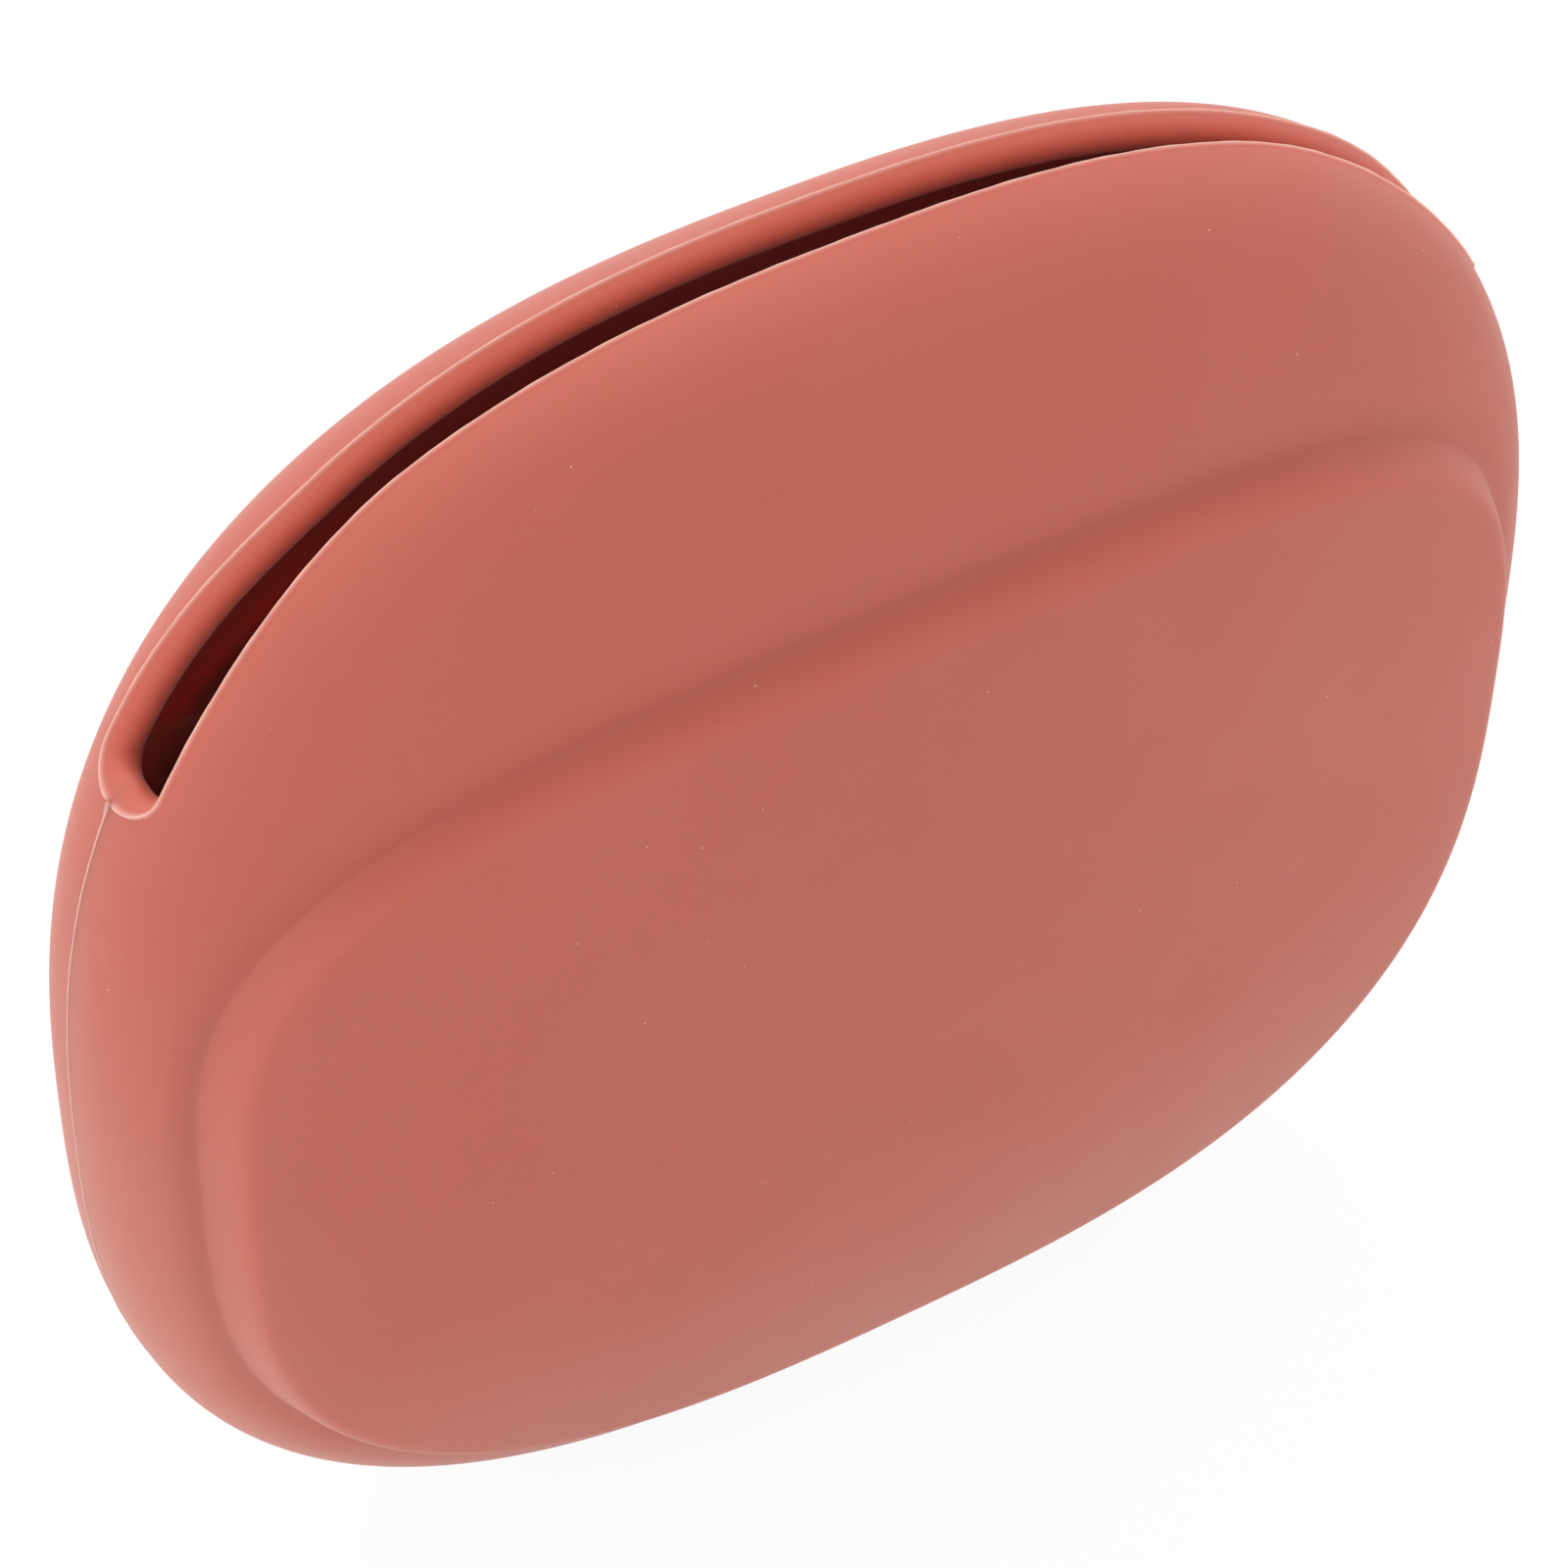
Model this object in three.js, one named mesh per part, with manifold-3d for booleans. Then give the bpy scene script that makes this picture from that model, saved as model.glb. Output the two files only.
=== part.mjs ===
// Silicone storage pouch: a moulded pebble with a raised panel on each face and a slot mouth over its top.
// Millimetres. +Z up through the mouth, front face towards -Y, origin under the middle of the base.
import * as THREE from 'three';
import { ParametricGeometry } from 'three/addons/geometries/ParametricGeometry.js';
import { mergeVertices } from 'three/addons/utils/BufferGeometryUtils.js';
import Module from 'manifold-3d';

// Body outline, seen from the front: two half superellipses that meet at the widest level.
const WIDTH = 120;
const HEIGHT = 111;
const WIDEST_LEVEL = 53.2;
const TOP_ROUNDNESS = 2.55;
const BASE_ROUNDNESS = 2.61;

// Body depth, front to back, before the panels are raised on it, and the wall at the rim and behind a panel.
const BODY_DEPTH = 34.4;
const FACE_FLATNESS = 2.8;
const EDGE_ROUNDNESS = 2.5;
const WALL = 3;
const PANEL_WALL = 3.4;

// Raised panel on each face, set in from the body outline: flat over its middle, then falling towards its edge.
const PANEL_SIDE_INSET = 7.3;
const PANEL_TOP_INSET = 23.7;
const PANEL_BASE_INSET = 12.5;
const PANEL_ROUNDNESS = 3;
const PANEL_RAISE = 1.5;
const PANEL_FLAT_SHARE = 0.25;
const PANEL_FALL = 2.1;

// Step round the panel: it starts inside the panel's line and ends outside it. The lag rounds its top broadly
// and makes the crease at its foot tight. A shallow hollow runs along the crease and dies out on the flank.
const STEP_START = 2.5;
const STEP_WIDTH = 4.4;
const STEP_LAG = 3.2;
const HOLLOW_DEPTH = 0.8;
const HOLLOW_WIDTH = 6;
const HOLLOW_ROOM_SHARE = 0.8;

// Slot mouth: it runs over the top from side to side, with round ends on the parting line.
const MOUTH_WIDTH = 6;
const MOUTH_END_DROP = 26.5;
const LIP_BULGE = 0.8;

// Each lip is the wall above a level flex line, parted from the wall below by a narrow gap.
const FLEX_LINE_DROP = 20.5;
const FLEX_GAP = 0.3;

// Facets round the outline and across each stretch of the wall.
const TOP_FACETS = 26;
const BASE_FACETS = 34;
const MOUTH_END_FACETS = 4;
const PANEL_FACETS = 5;
const STEP_FACETS = 6;
const BAND_FACETS = 8;
const RIM_FACETS = 5;
const INNER_FACETS = 7;

const halfWidth = WIDTH / 2;
const topRise = HEIGHT - WIDEST_LEVEL;
const halfDepth = BODY_DEPTH / 2;
const innerDepth = halfDepth + PANEL_RAISE - PANEL_WALL;
const mouthHalf = MOUTH_WIDTH / 2;
const mouthEnd = topRise - MOUTH_END_DROP;
const flexLevel = HEIGHT - FLEX_LINE_DROP;

const wasm = await Module();
wasm.setup();

// Distance from the centre to a superellipse along a direction in the XZ plane.
function superellipseReach(angle, across, along, roundness) {
  const side = Math.pow(Math.abs(Math.cos(angle)) / across, roundness);
  const rise = Math.pow(Math.abs(Math.sin(angle)) / along, roundness);
  return Math.pow(side + rise, -1 / roundness);
}

// The body outline drawn in by an inset: nothing for the outside, the wall for the inside.
function bodyReach(angle, inset) {
  const upper = Math.sin(angle) > 0;
  const along = (upper ? topRise : WIDEST_LEVEL) - inset;
  return superellipseReach(angle, halfWidth - inset, along, upper ? TOP_ROUNDNESS : BASE_ROUNDNESS);
}

// The raised panel's outline, part of the way down its step.
function panelReach(angle) {
  const upper = Math.sin(angle) > 0;
  const along = upper ? topRise - PANEL_TOP_INSET : WIDEST_LEVEL - PANEL_BASE_INSET;
  return superellipseReach(angle, halfWidth - PANEL_SIDE_INSET, along, PANEL_ROUNDNESS);
}

// Depth of the pebble's face at a share of the way from its centre to its outline.
function faceDepth(share, depth) {
  return depth * Math.pow(1 - Math.pow(share, FACE_FLATNESS), 1 / EDGE_ROUNDNESS);
}

// The share of the way out at which the pebble's face has come back to a given depth.
function shareAtDepth(wanted, depth) {
  return Math.pow(1 - Math.pow(wanted / depth, EDGE_ROUNDNESS), 1 / FACE_FLATNESS);
}

// How much of the panel's fall has been made at a share of the way to its step.
function panelFall(share) {
  const flat = Math.pow(PANEL_FLAT_SHARE, PANEL_FALL);
  return (Math.pow(share, PANEL_FALL) - flat) / (1 - flat);
}

// How much of the step has been gone down at a share of its width.
function stepGone(share) {
  const lagged = Math.pow(share, STEP_LAG);
  return lagged * lagged * (3 - 2 * lagged);
}

// How far the flank is drawn in at a distance beyond the crease, given the room between the crease and the rim.
function hollowAt(beyond, room) {
  const width = Math.min(HOLLOW_WIDTH, HOLLOW_ROOM_SHARE * room);
  return HOLLOW_DEPTH * Math.pow(Math.max(0, 1 - beyond / width), 2);
}

// Direction of the outline point at a level above the widest one, on the right-hand side.
function angleAtLevel(level) {
  const across = halfWidth * Math.pow(1 - Math.pow(level / topRise, TOP_ROUNDNESS), 1 / TOP_ROUNDNESS);
  return Math.atan2(level, across);
}

// Columns round the outline, each a direction and the mouth's half width there. The round mouth ends get
// their own columns, and the first column is repeated at the end to close the ring.
function outlineColumns() {
  const rightEnd = [];
  for (let i = 0; i <= MOUTH_END_FACETS; i += 1) {
    const turn = (i / MOUTH_END_FACETS) * Math.PI / 2;
    const level = mouthEnd + mouthHalf * (1 - Math.cos(turn));
    rightEnd.push({ angle: angleAtLevel(level), mouth: mouthHalf * Math.sin(turn) });
  }
  const leftEnd = rightEnd.map((end) => ({ angle: Math.PI - end.angle, mouth: end.mouth })).reverse();
  const fullStart = rightEnd[MOUTH_END_FACETS].angle;
  const top = [];
  for (let i = 1; i < TOP_FACETS; i += 1) {
    top.push({ angle: fullStart + (Math.PI - 2 * fullStart) * (i / TOP_FACETS), mouth: mouthHalf });
  }
  const baseStart = Math.PI - rightEnd[0].angle;
  const base = [];
  for (let i = 1; i <= BASE_FACETS; i += 1) {
    base.push({ angle: baseStart + (Math.PI + 2 * rightEnd[0].angle) * (i / BASE_FACETS), mouth: 0 });
  }
  return [...rightEnd, ...top, ...leftEnd, ...base];
}

// One column of the wall as [radius, depth] points: out over the panel, down its step, along the band
// to the rim, over the rim's rounded lip, and back along the inside.
function wallProfile({ angle, mouth }) {
  const points = [];
  const outer = bodyReach(angle, 0);
  const inner = bodyReach(angle, WALL);
  const ridge = panelReach(angle) - STEP_START;
  const crease = ridge + STEP_WIDTH;
  const rim = outer * shareAtDepth(mouth, halfDepth);
  const crownDepth = halfDepth + PANEL_RAISE;
  const ridgeDepth = faceDepth(ridge / outer, halfDepth) + PANEL_RAISE;
  const panelDepth = (radius) => crownDepth - (crownDepth - ridgeDepth) * panelFall(radius / ridge);
  points.push([0, crownDepth]);
  for (let i = 0; i <= PANEL_FACETS; i += 1) {
    const radius = ridge * (PANEL_FLAT_SHARE + (1 - PANEL_FLAT_SHARE) * (i / PANEL_FACETS));
    points.push([radius, panelDepth(radius)]);
  }
  for (let i = 1; i <= STEP_FACETS; i += 1) {
    const radius = ridge + STEP_WIDTH * (i / STEP_FACETS);
    const gone = stepGone(i / STEP_FACETS);
    const flankDepth = faceDepth(radius / outer, halfDepth) - HOLLOW_DEPTH;
    points.push([radius, panelDepth(radius) * (1 - gone) + flankDepth * gone]);
  }
  for (let i = 1; i < BAND_FACETS; i += 1) {
    const radius = crease + (rim - crease) * (1 - Math.pow(1 - i / BAND_FACETS, 2));
    const hollow = hollowAt(radius - crease, rim - crease);
    points.push([radius, faceDepth(radius / outer, halfDepth) - hollow]);
  }
  points.push([rim, mouth]);
  const innerShare = shareAtDepth(mouth, innerDepth);
  const innerRim = inner * innerShare;
  for (let i = 1; i <= RIM_FACETS; i += 1) {
    const across = i / RIM_FACETS;
    const bulge = LIP_BULGE * (mouth / mouthHalf) * Math.sin(Math.PI * across);
    points.push([rim + (innerRim - rim) * across, i < RIM_FACETS ? mouth - bulge : mouth]);
  }
  for (let i = 1; i <= INNER_FACETS; i += 1) {
    const back = 1 - Math.pow(i / INNER_FACETS, 2);
    points.push([innerRim * back, faceDepth(innerShare * back, innerDepth)]);
  }
  return points;
}

// One moulded half of the pouch, from the parting plane to its face: side is -1 in front, +1 behind.
function halfShell(side) {
  const columns = outlineColumns();
  const profiles = columns.map(wallProfile);
  const lastColumn = columns.length - 1;
  const lastRow = profiles[0].length - 1;
  const place = (u, v, target) => {
    const column = Math.round((side < 0 ? 1 - u : u) * lastColumn);
    const [radius, depth] = profiles[column][Math.round(v * lastRow)];
    const { angle } = columns[column];
    target.set(radius * Math.cos(angle), side * depth, WIDEST_LEVEL + radius * Math.sin(angle));
  };
  return new ParametricGeometry(place, lastColumn, lastRow);
}

// A closed solid from a geometry: seams are welded and the facets that shrink to a line are left out.
function solidFrom(geometry) {
  const bare = geometry.clone();
  bare.deleteAttribute('normal');
  bare.deleteAttribute('uv');
  const welded = mergeVertices(bare, 1e-5);
  const { array } = welded.index;
  const triangles = [];
  for (let i = 0; i < array.length; i += 3) {
    const [a, b, c] = [array[i], array[i + 1], array[i + 2]];
    if (a !== b && b !== c && c !== a) {
      triangles.push(a, b, c);
    }
  }
  return new wasm.Manifold(new wasm.Mesh({
    numProp: 3,
    vertProperties: new Float32Array(welded.attributes.position.array),
    triVerts: new Uint32Array(triangles),
  }));
}

// A block that holds everything on one side of a level.
function blockFrom(low, high) {
  const block = new THREE.BoxGeometry(WIDTH * 2, HEIGHT * 2, high - low);
  block.translate(0, 0, (low + high) / 2);
  return solidFrom(block);
}

function meshFrom(name, solid, material) {
  const { vertProperties, triVerts } = solid.getMesh();
  const geometry = new THREE.BufferGeometry();
  geometry.setAttribute('position', new THREE.BufferAttribute(new Float32Array(vertProperties), 3));
  geometry.setIndex(new THREE.BufferAttribute(new Uint32Array(triVerts), 1));
  geometry.computeVertexNormals();
  const mesh = new THREE.Mesh(geometry, material);
  mesh.name = name;
  return mesh;
}

const silicone = new THREE.MeshStandardMaterial({ color: 0xba6c60, roughness: 0.6, metalness: 0 });
const aboveFlexLine = blockFrom(flexLevel + FLEX_GAP / 2, HEIGHT * 2);
const belowFlexLine = blockFrom(-HEIGHT, flexLevel - FLEX_GAP / 2);
const frontHalf = solidFrom(halfShell(-1));
const backHalf = solidFrom(halfShell(1));

const pouch = new THREE.Group();
pouch.name = 'silicone_storage_pouch';
pouch.add(meshFrom('front_shell', frontHalf.intersect(belowFlexLine), silicone));
pouch.add(meshFrom('back_shell', backHalf.intersect(belowFlexLine), silicone));
pouch.add(meshFrom('front_lip', frontHalf.intersect(aboveFlexLine), silicone));
pouch.add(meshFrom('back_lip', backHalf.intersect(aboveFlexLine), silicone));

export default pouch;
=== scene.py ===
import logging
import math
from dataclasses import dataclass
from enum import Enum, IntEnum

import bpy
import numpy as np
from mathutils import Matrix, Vector


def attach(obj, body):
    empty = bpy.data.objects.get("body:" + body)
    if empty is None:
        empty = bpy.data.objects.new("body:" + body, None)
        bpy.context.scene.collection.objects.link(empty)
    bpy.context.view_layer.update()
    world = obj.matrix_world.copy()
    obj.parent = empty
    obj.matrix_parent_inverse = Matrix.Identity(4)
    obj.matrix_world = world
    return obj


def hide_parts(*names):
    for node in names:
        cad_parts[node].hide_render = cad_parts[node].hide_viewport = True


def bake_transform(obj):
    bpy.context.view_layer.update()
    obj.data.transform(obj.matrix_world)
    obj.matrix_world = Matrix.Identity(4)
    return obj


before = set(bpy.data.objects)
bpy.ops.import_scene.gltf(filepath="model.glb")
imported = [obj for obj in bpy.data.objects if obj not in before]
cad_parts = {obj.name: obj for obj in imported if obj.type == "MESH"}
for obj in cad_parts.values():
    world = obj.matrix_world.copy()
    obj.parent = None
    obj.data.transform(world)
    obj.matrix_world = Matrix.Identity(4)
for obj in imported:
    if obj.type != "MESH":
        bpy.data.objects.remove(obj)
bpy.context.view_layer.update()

LOG = logging.getLogger("silicone_pouch")
Array = np.ndarray
Colour = tuple[float, float, float, float]
Point = tuple[float, float, float]
Range = tuple[float, float]
Socket = bpy.types.NodeSocket
Waves = tuple[tuple[float, float, float], ...]
WHITE: Colour = (1.0, 1.0, 1.0, 1.0)


class Face(Enum):
    """The two moulded halves; the value is the sign of Y on that side."""

    FRONT = -1.0
    BACK = 1.0


class MixSocket(IntEnum):
    """Socket numbers of a Mix node that mixes colours: three inputs and its result."""

    SHARE = 0
    UNDER = 6
    OVER = 7
    RESULT = 2


def smooth_rise(share: Array) -> Array:
    """Smooth step from 0 to 1: 3 s^2 - 2 s^3, with s held between 0 and 1.

    Args:
        share: how far along the step each point is.

    Returns:
        The height of the step at each point.
    """
    held = np.clip(share, 0.0, 1.0)
    return held * held * (3.0 - 2.0 * held)


def superellipse_reach(angle: Array, across: Array, along: Array, roundness: Array) -> Array:
    """Distance from the centre to a superellipse along a direction.

    Formula: ((|cos a| / across)^n + (|sin a| / along)^n)^(-1/n).

    Args:
        angle: directions in the XZ plane, from +X towards +Z.
        across: half width.
        along: half height.
        roundness: the power n; 2 is an ellipse and more is squarer.

    Returns:
        The distance in each direction.
    """
    side = (np.abs(np.cos(angle)) / across) ** roundness
    rise = (np.abs(np.sin(angle)) / along) ** roundness
    return (side + rise) ** (-1.0 / roundness)


def unevenness(along: Array, waves: Waves) -> Array:
    """Slight unevenness along a line: 1 plus the sum of share * sin(rate * along + phase).

    Args:
        along: places on the line.
        waves: share, rate and phase of each wave.

    Returns:
        The factor at each place, near 1.
    """
    return sum((share * np.sin(rate * along + phase) for share, rate, phase in waves), 1.0)


def ring_mesh(name: str, rings: Array, first: Array, last: Array, flip: bool) -> bpy.types.Mesh:
    """A closed mesh from rings of points that shrink to one point at each end.

    Args:
        name: the mesh's name.
        rings: points as (ring, place on the ring, xyz); every ring closes on itself.
        first: the point before the first ring.
        last: the point after the last ring.
        flip: True where the faces have to be wound the other way to point outwards.

    Returns:
        The mesh, smooth shaded.
    """
    count, around = rings.shape[:2]
    points = np.concatenate([rings.reshape(-1, 3), first[None, :], last[None, :]])
    here = np.arange(count * around).reshape(count, around)
    ahead = np.roll(here, -1, axis=1)
    quads = np.stack([here[:-1], here[1:], ahead[1:], ahead[:-1]], axis=-1).reshape(-1, 4)
    start = np.stack([np.full(around, count * around), here[0], ahead[0]], axis=-1)
    end = np.stack([ahead[-1], here[-1], np.full(around, count * around + 1)], axis=-1)
    faces = [quads, start, end]
    if flip:
        faces = [part[:, ::-1] for part in faces]
    mesh = bpy.data.meshes.new(name)
    mesh.from_pydata(points.tolist(), [], [face for part in faces for face in part.tolist()])
    mesh.polygons.foreach_set("use_smooth", np.ones(len(mesh.polygons), dtype=bool))
    mesh.update()
    return mesh


def put_in_scene(mesh: bpy.types.Mesh, material: bpy.types.Material) -> bpy.types.Object:
    """Makes an object of a mesh at the origin, with its material.

    Args:
        mesh: the piece's mesh, with its place in it.
        material: the finish.

    Returns:
        The piece, linked to the scene.
    """
    mesh.materials.append(material)
    piece = bpy.data.objects.new(mesh.name, mesh)
    bpy.context.scene.collection.objects.link(piece)
    return piece


class NodeBoard:
    """Adds and wires the nodes of one node tree."""

    def __init__(self, tree: bpy.types.NodeTree) -> None:
        """Clears the tree and keeps it."""
        tree.nodes.clear()
        self.tree = tree

    def add(self, kind: str, **settings: object) -> bpy.types.Node:
        """Adds a node.

        Args:
            kind: the node's type name.
            settings: the node's own properties.

        Returns:
            The node.
        """
        node = self.tree.nodes.new(kind)
        for name, value in settings.items():
            setattr(node, name, value)
        return node

    def fill(self, node: bpy.types.Node, values: dict[str, object]) -> None:
        """Sets the values of a node's own sockets by name."""
        for name, value in values.items():
            node.inputs[name].default_value = value

    def wire(self, source: Socket, target: Socket) -> None:
        """Links one socket to another."""
        self.tree.links.new(source, target)

    def maths(self, operation: str, first: Socket, second: float) -> Socket:
        """What a Math node makes of one socket and a number.

        Args:
            operation: the Math node's operation.
            first: the socket it works on.
            second: the other number.

        Returns:
            The result's socket.
        """
        node = self.add("ShaderNodeMath", operation=operation)
        node.inputs[1].default_value = second
        self.wire(first, node.inputs[0])
        return node.outputs[0]

    def pair(self, operation: str, first: Socket, second: Socket) -> Socket:
        """What a Math node makes of two sockets.

        Args:
            operation: the Math node's operation.
            first: the first socket it works on.
            second: the other one.

        Returns:
            The result's socket.
        """
        node = self.add("ShaderNodeMath", operation=operation)
        self.wire(first, node.inputs[0])
        self.wire(second, node.inputs[1])
        return node.outputs[0]

    def spread(self, source: Socket, low: float, high: float, to_low: float, to_high: float) -> Socket:
        """Carries a range of values over to another range, smoothly and held at its ends.

        Args:
            source: the socket to read.
            low: start of the range it is read over.
            high: end of that range.
            to_low: value given at the start.
            to_high: value given at the end.

        Returns:
            The result's socket.
        """
        node = self.add("ShaderNodeMapRange", interpolation_type="SMOOTHSTEP")
        self.fill(node, {"From Min": low, "From Max": high, "To Min": to_low, "To Max": to_high})
        self.wire(source, node.inputs["Value"])
        return node.outputs["Result"]

    def tint(self, share: Socket, under: Socket, over: Colour) -> Socket:
        """Lays a colour over another by a share.

        Args:
            share: how much of the upper colour shows.
            under: the lower colour's socket.
            over: the upper colour.

        Returns:
            The result's socket.
        """
        node = self.add("ShaderNodeMix", data_type="RGBA")
        node.inputs[MixSocket.OVER].default_value = over
        self.wire(share, node.inputs[MixSocket.SHARE])
        self.wire(under, node.inputs[MixSocket.UNDER])
        return node.outputs[MixSocket.RESULT]


@dataclass(frozen=True)
class SiliconeFinish:
    """Matte moulded silicone: faint clouding, fine tooth, sheen, a painted sheen on the flank and base, a
    painted glow on the lip, paler flash with a painted glow and a little dust.

    Colours are linear. Pattern scales are repeats for each metre, and a range is the stretch of a noise's
    values over which its effect goes from none to full.
    """

    name: str = "terracotta_silicone"
    base: Colour = (0.488, 0.1138, 0.0762, 1.0)
    warm: Colour = (0.498, 0.1168, 0.0782, 1.0)
    # paler tone of the thin flash, with a painted glow of light let through it
    flash_and_glow: Colour = (0.74, 0.38, 0.33, 1.0)
    dust: Colour = (0.80, 0.62, 0.56, 1.0)
    # painted sheen: a pale haze that stands in for grazing sheen and light thrown up from the floor
    painted_sheen: Colour = (0.78, 0.68, 0.58, 1.0)
    painted_sheen_share: float = 0.095
    # painted glow: brighter red that stands in for light let through the lip
    painted_glow: Colour = (0.59, 0.121, 0.076, 1.0)
    noise_roughness: float = 0.55
    cloud_scale: float = 34.0
    cloud_detail: float = 3.0
    cloud_range: Range = (0.35, 0.65)
    tooth_scale: float = 2100.0
    tooth_detail: float = 2.0
    tooth_depth: float = 0.00002
    tooth_strength: float = 0.6
    dust_scale: float = 420.0
    dust_radius: float = 0.038  # of a speck, as a share of a cell
    dust_core: float = 0.4  # share of the radius that is full strength
    dust_strength: float = 0.7
    dust_choice: float = 0.55  # share of the cells that stay clean
    wear_ratio: float = 2.3  # scale of the roughness pattern against the clouds'
    wear_detail: float = 4.0
    wear_range: Range = (0.3, 0.7)
    roughness_low: float = 0.58
    roughness_high: float = 0.68
    sheen: float = 0.14
    sheen_roughness: float = 0.45
    specular: float = 0.55
    refraction: float = 1.45
    through: float = 0.3
    through_reach: float = 0.005
    through_spread: Point = (1.0, 0.22, 0.12)

    def material(self) -> bpy.types.Material:
        """Builds the finish.

        Returns:
            A material that reads Object coordinates and the attributes of the flash, the painted sheen and
            the painted lip glow.
        """
        material = bpy.data.materials.new(self.name)
        material.use_nodes = True
        board = NodeBoard(material.node_tree)
        place = board.add("ShaderNodeTexCoord").outputs["Object"]
        colour = self.clouding(board, place)
        colour = self.paint_lip_glow(board, colour)
        colour = self.paint_sheen(board, colour)
        colour = self.paint_flash_glow(board, colour)
        colour = self.dusting(board, place, colour)
        shader = board.add("ShaderNodeBsdfPrincipled")
        board.fill(shader, {
            "Specular IOR Level": self.specular,
            "IOR": self.refraction,
            "Sheen Weight": self.sheen,
            "Sheen Roughness": self.sheen_roughness,
            "Subsurface Weight": self.through,
            "Subsurface Scale": self.through_reach,
            "Subsurface Radius": self.through_spread,
        })
        board.wire(colour, shader.inputs["Base Color"])
        board.wire(self.roughness(board, place), shader.inputs["Roughness"])
        board.wire(self.tooth(board, place), shader.inputs["Normal"])
        output = board.add("ShaderNodeOutputMaterial")
        board.wire(shader.outputs["BSDF"], output.inputs["Surface"])
        return material

    def noise(self, board: NodeBoard, place: Socket, scale: float, detail: float) -> Socket:
        """A noise pattern on Object coordinates.

        Args:
            board: the material's nodes.
            place: the coordinates' socket.
            scale: repeats for each metre.
            detail: octaves.

        Returns:
            The pattern's value socket.
        """
        node = board.add("ShaderNodeTexNoise")
        board.fill(node, {"Scale": scale, "Detail": detail, "Roughness": self.noise_roughness})
        board.wire(place, node.inputs["Vector"])
        return node.outputs["Fac"]

    def clouding(self, board: NodeBoard, place: Socket) -> Socket:
        """Base colour with soft clouds of a slightly warmer tone.

        Args:
            board: the material's nodes.
            place: the coordinates' socket.

        Returns:
            The colour's socket.
        """
        pattern = self.noise(board, place, self.cloud_scale, self.cloud_detail)
        share = board.spread(pattern, *self.cloud_range, 0.0, 1.0)
        node = board.add("ShaderNodeMix", data_type="RGBA")
        node.inputs[MixSocket.UNDER].default_value = self.base
        node.inputs[MixSocket.OVER].default_value = self.warm
        board.wire(share, node.inputs[MixSocket.SHARE])
        return node.outputs[MixSocket.RESULT]

    def paint_lip_glow(self, board: NodeBoard, colour: Socket) -> Socket:
        """Painted glow: brighter and redder colour on the lip's mask, standing in for the light that the
        lip lets through.
        """
        lip = board.add("ShaderNodeAttribute", attribute_name="painted_glow")
        return board.tint(lip.outputs["Fac"], colour, self.painted_glow)

    def paint_sheen(self, board: NodeBoard, colour: Socket) -> Socket:
        """Painted sheen: a pale haze laid over the colour by its attribute's mask, standing in for grazing
        sheen and light thrown up from the floor.

        Args:
            board: the material's nodes.
            colour: the socket of the colour that the painted sheen lies on.

        Returns:
            The colour's socket.
        """
        sheen_paint_mask = board.add("ShaderNodeAttribute", attribute_name="painted_sheen")
        share = board.maths("MULTIPLY", sheen_paint_mask.outputs["Fac"], self.painted_sheen_share)
        return board.tint(share, colour, self.painted_sheen)

    def paint_flash_glow(self, board: NodeBoard, colour: Socket) -> Socket:
        """Paler colour on the flash: the thin skin's own paler tone, with a painted glow of light let
        through it.
        """
        edge = board.add("ShaderNodeAttribute", attribute_name="flash_and_glow")
        return board.tint(edge.outputs["Fac"], colour, self.flash_and_glow)

    def dusting(self, board: NodeBoard, place: Socket, colour: Socket) -> Socket:
        """Specks of pale dust: small round spots round the cell points of a Voronoi pattern, in some cells.

        Args:
            board: the material's nodes.
            place: the coordinates' socket.
            colour: the socket of the colour that the dust lies on.

        Returns:
            The colour's socket.
        """
        cells = board.add("ShaderNodeTexVoronoi")
        board.fill(cells, {"Scale": self.dust_scale})
        board.wire(place, cells.inputs["Vector"])
        spot = board.spread(cells.outputs["Distance"], self.dust_core * self.dust_radius, self.dust_radius,
                            self.dust_strength, 0.0)
        split = board.add("ShaderNodeSeparateColor")
        board.wire(cells.outputs["Color"], split.inputs["Color"])
        chosen = board.maths("GREATER_THAN", split.outputs["Red"], self.dust_choice)
        return board.tint(board.pair("MULTIPLY", spot, chosen), colour, self.dust)

    def roughness(self, board: NodeBoard, place: Socket) -> Socket:
        """Roughness that drifts a little over the skin, as handling leaves it."""
        pattern = self.noise(board, place, self.wear_ratio * self.cloud_scale, self.wear_detail)
        return board.spread(pattern, *self.wear_range, self.roughness_low, self.roughness_high)

    def tooth(self, board: NodeBoard, place: Socket) -> Socket:
        """Fine raised tooth left by the mould's matte surface.

        Args:
            board: the material's nodes.
            place: the coordinates' socket.

        Returns:
            The normal's socket.
        """
        node = board.add("ShaderNodeBump")
        board.fill(node, {"Strength": self.tooth_strength, "Distance": self.tooth_depth})
        board.wire(self.noise(board, place, self.tooth_scale, self.tooth_detail), node.inputs["Height"])
        return node.outputs["Normal"]


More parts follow.
